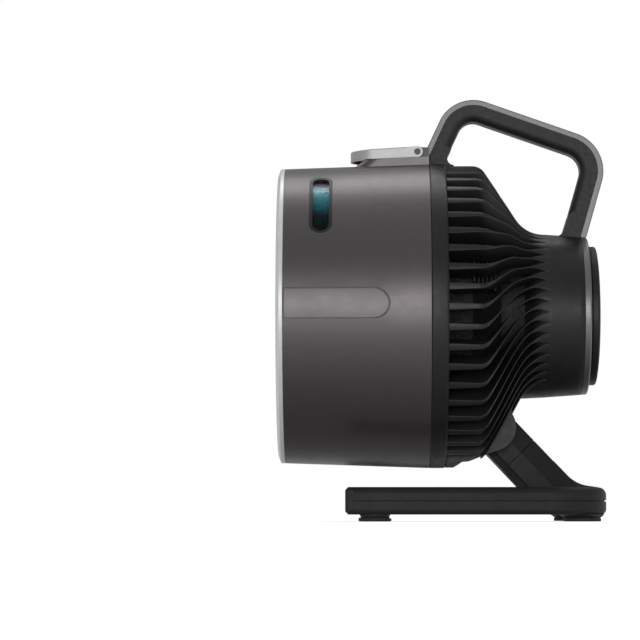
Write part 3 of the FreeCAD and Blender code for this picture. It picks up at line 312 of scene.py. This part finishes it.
for part in frame["record"]["subparts"]:
    dress(nodes[part["node"]], part["material_slot"])
for node, look in (
        ("handle_trim", satin_metal("handle_trim", (0.225, 0.220, 0.216), 0.38, metallic=0.6)),
        ("lid_hinge_block", satin_metal("lid_hinge_grey", (0.12, 0.118, 0.115), 0.45, metallic=0.6)),
        ("lid_hinge_pin", satin_metal("lid_pin_grey", (0.10, 0.10, 0.098), 0.45, metallic=0.6)),
        ("lid_cover", satin_metal("lid_silver", (0.56, 0.56, 0.553), 0.42, metallic=0.6))):
    nodes[node].data.materials[0] = look.material


# ---- mesh helpers -------------------------------------------------------------------------------------
def piece(name, verts, faces, body, slot, material=None):
    """A smooth-shaded mesh piece that rides on a body."""
    mesh = bpy.data.meshes.new(name)
    mesh.from_pydata([tuple(v) for v in verts], [], faces)
    mesh.validate()
    clean = bmesh.new()
    clean.from_mesh(mesh)
    bmesh.ops.recalc_face_normals(clean, faces=clean.faces)
    clean.to_mesh(mesh)
    clean.free()
    mesh.shade_smooth()
    made = bpy.data.objects.new(name, mesh)
    bpy.context.scene.collection.objects.link(made)
    made.data.materials.append(material or LOOKS[slot].material)
    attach(made, body)
    return made


def at(y, radius, degrees):
    """The point at a station and radius, with degrees counted from +X up to +Z."""
    a = math.radians(degrees)
    return Vector((radius * math.cos(a), y, AXIS_Z + radius * math.sin(a)))


def skin(rings, caps=True):
    """Faces that join closed rings of equal length, with caps on the first and the last."""
    n, faces = len(rings[0]), []
    for i in range(len(rings) - 1):
        for j in range(n):
            a, b = i * n + j, i * n + (j + 1) % n
            faces.append((a, b, b + n, a + n))
    if caps:
        last = (len(rings) - 1) * n
        faces.append(tuple(reversed(range(n))))
        faces.append(tuple(range(last, last + n)))
    return faces


def lathe(profile, low=0.0, high=360.0, segments=384):
    """Vertices and faces of a closed (y, radius) profile, in mm, turned about the fan axis."""
    whole = high - low == 360.0
    count = segments if whole else segments + 1
    rings = [[at(y * MM, r * MM, low + (high - low) * k / segments) for y, r in profile]
             for k in range(count)]
    verts = [v for ring in rings for v in ring]
    if not whole:
        return verts, skin(rings)
    faces = skin(rings + rings[:1], caps=False)
    return verts, [tuple(i % len(verts) for i in face) for face in faces]


def join(parts):
    """One list of vertices and one of faces from several."""
    verts, faces = [], []
    for some_verts, some_faces in parts:
        faces += [tuple(i + len(verts) for i in face) for face in some_faces]
        verts += some_verts
    return verts, faces


def step(y, y0, y1):
    """A smooth step from 0 at y0 to 1 at y1."""
    t = min(1.0, max(0.0, (y - y0) / (y1 - y0)))
    return t * t * (3 - 2 * t)


# ---- the rear cage ------------------------------------------------------------------------------------
VANE_COUNT, VANE_TWIST = 48, 25.5           # vanes round the cage, and degrees that each one turns
VANE_R, TUBE_R, TUBE_Y = 112.5, 61.2, 79.0  # radius over the vanes, and radius and start of the tube
SLOPE_TOP, SLOPE_FOOT = 30.5, 64.7          # stations where the shoulder's slope would start and end


def cage_outline(y):
    """Radius over the vanes at a station, both in mm: drum, shoulder, straight slope, fillet, tube."""
    slope = (VANE_R - TUBE_R) / (SLOPE_FOOT - SLOPE_TOP)
    bend = math.atan(slope)
    reach_top, reach_foot = 6.0, 13.2
    if y < SLOPE_TOP - reach_top:
        return VANE_R
    if y < SLOPE_TOP + reach_top * math.cos(bend):
        r = reach_top / math.tan(bend / 2)
        return VANE_R - r + math.sqrt(r * r - (y - SLOPE_TOP + reach_top) ** 2)
    if y < SLOPE_FOOT - reach_foot * math.cos(bend):
        return VANE_R - slope * (y - SLOPE_TOP)
    r = reach_foot / math.tan(bend / 2)
    past = min(0.0, y - SLOPE_FOOT - reach_foot)
    return TUBE_R + r - math.sqrt(r * r - past ** 2)


def vane_ring(y, start):
    """Section of a vane at a station: a wedge with rounded outer corners."""
    depth, depth_lost, can_gap = 21.0, 10.0, 0.6
    outer = cage_outline(y) - 0.12 * step(y, 76.0, 80.0)
    inner = max(outer - depth + depth_lost * step(y, 30, 62), CAN_R / MM + can_gap)
    turn = start + VANE_TWIST * step(y, 27.0, 75.0)
    half = 2.75 - 0.65 * step(y, 4.0, 26.0) - 1.4 * step(y, 22.0, 46.0) + 3.35 * step(y, 64.0, 80.0)
    foot = max(min(half, 2.4) - 0.9, 0.45)
    edge = min(0.55, half * 0.7)
    corner_points, corner_step = 4, 30
    ring = [at(y * MM, inner * MM, turn + math.degrees(side * foot / inner)) for side in (1, -1)]
    for side in (-1, 1):
        for k in range(corner_points):
            a = math.radians(corner_step * k if side < 0 else 90 - corner_step * k)
            across = side * (half - edge + edge * math.cos(a))
            r = outer - edge + edge * math.sin(a)
            ring.append(at(y * MM, r * MM, turn + math.degrees(across / r)))
    return ring


def vanes():
    """All the vanes, each one stopped where it meets the bracket's sides."""
    first, last, stations, fewest = 3.4, 80.2, 60, 4
    side_margin, top_margin = 1 * MM, 3 * MM
    made = []
    for k in range(VANE_COUNT):
        run = []
        for i in range(stations):
            y = first + (last - first) * i / (stations - 1)
            ring = vane_ring(y, 360.0 / VANE_COUNT * k)
            centre = sum(ring, Vector()) / len(ring)
            beside = abs(centre.x) < bracket_high.x - side_margin
            hidden = beside and centre.z < bracket_high.z + top_margin
            if not hidden:
                run.append(ring)
            if run and (hidden or i == stations - 1):
                if len(run) >= fewest:
                    made.append(([v for r in run for v in r], skin(run)))
                run = []
    return join(made)


def rear_cage():
    """Collar, vanes, saddle and tube, with the port's opening and room for the handle's foot."""
    foot_inset, foot_height = 1.6 * MM, 109.2 * MM
    collar = lathe([(-7.9, 113.5), (-7.75, 113.72), (-7.4, 114.0), (2.6, 114.0), (3.4, 113.72),
                    (4.05, 113.1), (4.3, 112.4), (4.3, 97.6), (1.9, 97.6), (-0.6, 111.2), (-7.9, 111.45)])
    for v in collar[0]:
        if abs(v.x) < grip_high.x - foot_inset and v.z > AXIS_Z:
            v.z = min(v.z, AXIS_Z + foot_height)
    port_end = seat_high.y / MM + 0.1
    tube = lathe([(62.0, 47.6), (62.0, 49.8), (70.0, 57.4), (76.5, 60.5), (TUBE_Y, 61.14), (80.9, 61.0),
                  (port_end, 59.54), (105.2, 59.24), (105.6, 58.9), (105.6, 56.8), (port_end, 57.1),
                  (80.9, 58.6), (TUBE_Y, 58.7), (71.0, 55.6), (66.0, 47.6)])
    saddle = lathe([(60.1, 62.1), (TUBE_Y, TUBE_R), (TUBE_Y, 58.8), (71.0, 56.0), (66.0, 53.0),
                    (60.1, 53.0)], 242.0, 298.0, 60)
    verts, faces = join([collar, tube, saddle, vanes()])
    port_low = seat_low - Vector((0, 1.9, 0.1)) * MM
    port_high = seat_high + Vector((0, 0.1, 0.1)) * MM
    port_floor = 56 * MM

    def in_port(face):
        spot = sum((verts[i] for i in face), Vector()) / len(face)
        radius = math.hypot(spot.x, spot.z - AXIS_Z)
        beside = port_low.y < spot.y < port_high.y and port_low.z < spot.z < port_high.z
        return spot.x < 0 and beside and radius > port_floor

    faces = [face for face in faces if not in_port(face)]
    made = piece("rear_cage", verts, faces, "head", "shell_black")
    close = bmesh.new()
    close.from_mesh(made.data)
    rim = [e for e in close.edges if e.is_boundary]
    bmesh.ops.bridge_loops(close, edges=rim)
    bmesh.ops.recalc_face_normals(close, faces=close.faces)
    close.to_mesh(made.data)
    close.free()
    made.data.set_sharp_from_angle(angle=math.radians(38))
    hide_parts("rear_housing")


def finned_sleeve():
    """Fins over the front of the battery can that show between the vanes, and the sleeve under them."""
    fins = []
    fin_count, first_y, pitch, first_r, shrink, root_r = 6, 22.0, 3.2, 92.0, 4.8, 48.0
    for k in range(fin_count):
        y, r = first_y + pitch * k, first_r - shrink * k
        fins.append(lathe([(y, root_r), (y, r - 0.6), (y + 0.6, r), (y + 1.7, r), (y + 2.3, r - 0.8),
                           (y + 2.3, root_r)], 12.0, 168.0, 96))
    sleeve = lathe([(20.0, CAN_R / MM + 0.1), (20.0, 50.0), (44.0, 50.0), (44.0, CAN_R / MM + 0.1)],
                   segments=128)
    verts, faces = join(fins + [sleeve])
    piece("finned_sleeve", verts, faces, "head", "inner_black").data.set_sharp_from_angle(angle=0.6)


def intake_screen():
    """The fine dark screen behind the vanes, with a flange at its front, open over the bracket."""
    look = moulded("intake_screen", (0.010, 0.010, 0.011), 0.6)
    holes = look.node("ShaderNodeTexVoronoi")
    hole_pitch = 1.6 * MM
    holes.inputs["Scale"].default_value = 1.0 / hole_pitch
    look.link(look.place, holes.inputs["Vector"])
    look.bump(holes.outputs["Distance"], 0.5 * MM)
    verts, faces = lathe([(4.6, 84.6), (4.6, 97.4), (5.6, 97.4), (5.6, 85.6),
                          (22.0, 85.6), (44.0, 54.0), (44.0, 53.0), (22.0, 84.4)],
                         -66.0, 246.0, 160)
    made = piece("intake_screen", verts, faces, "head", "inner_black", look.material)
    made.data.set_sharp_from_angle(angle=0.6)


def badge_plates():
    """The blank plates in the shell's sides: finely divided, so they take the light as the shell does."""
    low, high = corners("side_inlays")
    shell_low, shell_high = corners("front_shell")
    front_r = corners("front_ring")[1].x + 0.1 * MM
    half, centre = (high.z - low.z) / 2, (high.z + low.z) / 2
    rows, columns = 36, 48
    weld = 0.01 * MM

    def drum_radius(y):
        share = (y - shell_low.y) / (shell_high.y - shell_low.y)
        return front_r + (shell_high.x - front_r) * share

    for side, name in ((1, "badge_plate_right"), (-1, "badge_plate_left")):
        layers = []
        for sink, shrink in ((1.0 * MM, 0.0), (0.2 * MM, 0.0), (0.0, 0.25 * MM)):
            layer = []
            for i in range(rows + 1):
                z = (half - shrink) * math.sin(math.pi * (i / rows - 0.5))
                tip = high.y - half + math.sqrt(max(0.0, (half - shrink) ** 2 - z * z))
                for j in range(columns + 1):
                    y = low.y + shrink + (tip - low.y - shrink) * j / columns
                    radius = drum_radius(y) - sink
                    x = math.sqrt(radius ** 2 - (centre + z - AXIS_Z) ** 2)
                    layer.append(Vector((side * x, y, centre + z)))
            layers.append(layer)
        wide, count = columns + 1, (rows + 1) * (columns + 1)
        faces = []
        for layer in (0, 2):
            for i in range(rows):
                for j in range(columns):
                    a = layer * count + i * wide + j
                    faces.append((a, a + 1, a + 1 + wide, a + wide))
        rim = [i * wide for i in range(rows + 1)] + [rows * wide + j for j in range(1, wide)]
        rim += [i * wide + columns for i in range(rows - 1, -1, -1)] + list(range(columns - 1, 0, -1))
        for layer in (0, 1):
            for a, b in zip(rim, rim[1:] + rim[:1]):
                faces.append((layer * count + a, layer * count + b, (layer + 1) * count + b,
                              (layer + 1) * count + a))
        made = piece(name, [v for layer in layers for v in layer], faces, "head", "shell_grey")
        loose = bmesh.new()
        loose.from_mesh(made.data)
        bmesh.ops.delete(loose, geom=[v for v in loose.verts if not v.link_faces], context="VERTS")
        bmesh.ops.remove_doubles(loose, verts=loose.verts, dist=weld)
        bmesh.ops.recalc_face_normals(loose, faces=loose.faces)
        loose.to_mesh(made.data)
        loose.free()
        made.data.set_sharp_from_angle(angle=math.radians(50))
        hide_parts("side_inlays")


def bosses():
    """Round screw posts inside the cage."""
    made = []
    posts, first_turn, circle_r, sides = 6, 22.0, 62.0, 12
    for k in range(posts):
        centre = at(0, circle_r * MM, 360.0 / posts * k + first_turn)
        rings = []
        for y, r in ((30.0, 3.4), (50.0, 3.0), (50.6, 2.6), (50.6, 1.5), (47.0, 1.5)):
            rings.append([centre + Vector((r * MM * math.cos(t / sides * math.tau), y * MM,
                                           r * MM * math.sin(t / sides * math.tau))) for t in range(sides)])
        made.append(([v for ring in rings for v in ring], skin(rings)))
    verts, faces = join(made)
    posts_piece = piece("housing_posts", verts, faces, "head", "shell_black")
    posts_piece.data.set_sharp_from_angle(angle=0.6)


# ---- stage --------------------------------------------------------------------------------------------
def camera():
    """A long lens almost at floor height, level with the fan's side."""
    lens_data = bpy.data.cameras.new("camera")
    made = bpy.data.objects.new("camera", lens_data)
    bpy.context.scene.collection.objects.link(made)
    distance, view_width, sensor_width = 2.25, 0.480, 36.0
    made.location = (distance, -0.0596, 0.0100)
    target = Vector((0, -0.0896, 0.1508))
    made.rotation_mode = "QUATERNION"
    made.rotation_quaternion = (target - made.location).to_track_quat("-Z", "Y")
    lens_data.sensor_width = sensor_width
    lens_data.lens = sensor_width * distance / view_width
    lens_data.clip_start, lens_data.clip_end = 0.05, 50.0
    bpy.context.scene.camera = made


def area_light(name, place, size, power):
    """A white soft box at a place, turned to the middle of the fan."""
    target = Vector((0, 0, 0.15))
    data = bpy.data.lights.new(name, "AREA")
    data.shape = "RECTANGLE"
    data.size, data.size_y = size
    data.energy = power
    made = bpy.data.objects.new(name, data)
    made.location = place
    made.rotation_mode = "QUATERNION"
    made.rotation_quaternion = (target - Vector(place)).to_track_quat("-Z", "Y")
    bpy.context.scene.collection.objects.link(made)


def studio():
    """A pale floor, a surround that is white to the camera and graded for the light, and two soft boxes."""
    floor_half = 12.0
    mesh = bpy.data.meshes.new("floor")
    mesh.from_pydata([(floor_half * x, floor_half * y, 0) for x, y in ((-1, -1), (1, -1), (1, 1), (-1, 1))],
                     [], [(0, 1, 2, 3)])
    floor = bpy.data.objects.new("floor", mesh)
    bpy.context.scene.collection.objects.link(floor)
    look = Shader("floor", (0.90, 0.90, 0.90), 0.9, Specular_IOR_Level=0.0, Emission_Strength=0.72)
    look.bsdf.inputs["Emission Color"].default_value = (1, 1, 1, 1)
    look.tint(look.spread(look.noise(0.4), 0.0, 1.0), 0.99, 1.01)
    mesh.materials.append(look.material)
    floor.visible_glossy = False
    floor.visible_diffuse = False
    world = bpy.data.worlds.new("studio")
    world.use_nodes = True
    bpy.context.scene.world = world
    tree = world.node_tree
    background = tree.nodes["Background"]
    background.inputs["Color"].default_value = (1, 1, 1, 1)
    path = tree.nodes.new("ShaderNodeLightPath")
    sky = tree.nodes.new("ShaderNodeTexCoord")
    split = tree.nodes.new("ShaderNodeSeparateXYZ")
    tree.links.new(sky.outputs["Generated"], split.inputs["Vector"])
    height = tree.nodes.new("ShaderNodeMapRange")
    height.inputs["From Min"].default_value = -1.0
    tree.links.new(split.outputs["Z"], height.inputs["Value"])
    ramp = tree.nodes.new("ShaderNodeValToRGB")
    tree.links.new(height.outputs["Result"], ramp.inputs["Fac"])
    stops = ((0.0, 0.10), (0.12, 0.20), (0.35, 0.54), (0.50, 0.62), (0.64, 0.34), (0.80, 0.22),
             (1.0, 0.42))
    while len(ramp.color_ramp.elements) < len(stops):
        ramp.color_ramp.elements.new(0.5)
    for element, (place, grey) in zip(ramp.color_ramp.elements, stops):
        element.position = place
        element.color = (grey, grey, grey, 1)
    strength = tree.nodes.new("ShaderNodeMix")
    tree.links.new(path.outputs["Is Camera Ray"], strength.inputs["Factor"])
    tree.links.new(ramp.outputs["Color"], strength.inputs["A"])
    strength.inputs["B"].default_value = 1.0
    tree.links.new(strength.outputs["Result"], background.inputs["Strength"])
    area_light("top_box", (-0.5, -0.1, 1.3), (1.6, 0.5), 5.3)
    area_light("side_box", (2.2, -0.1, 0.40), (1.8, 0.7), 10)
    bpy.context.scene.view_settings.view_transform = "Standard"


camera()
studio()
rear_cage()
finned_sleeve()
intake_screen()
badge_plates()
bosses()
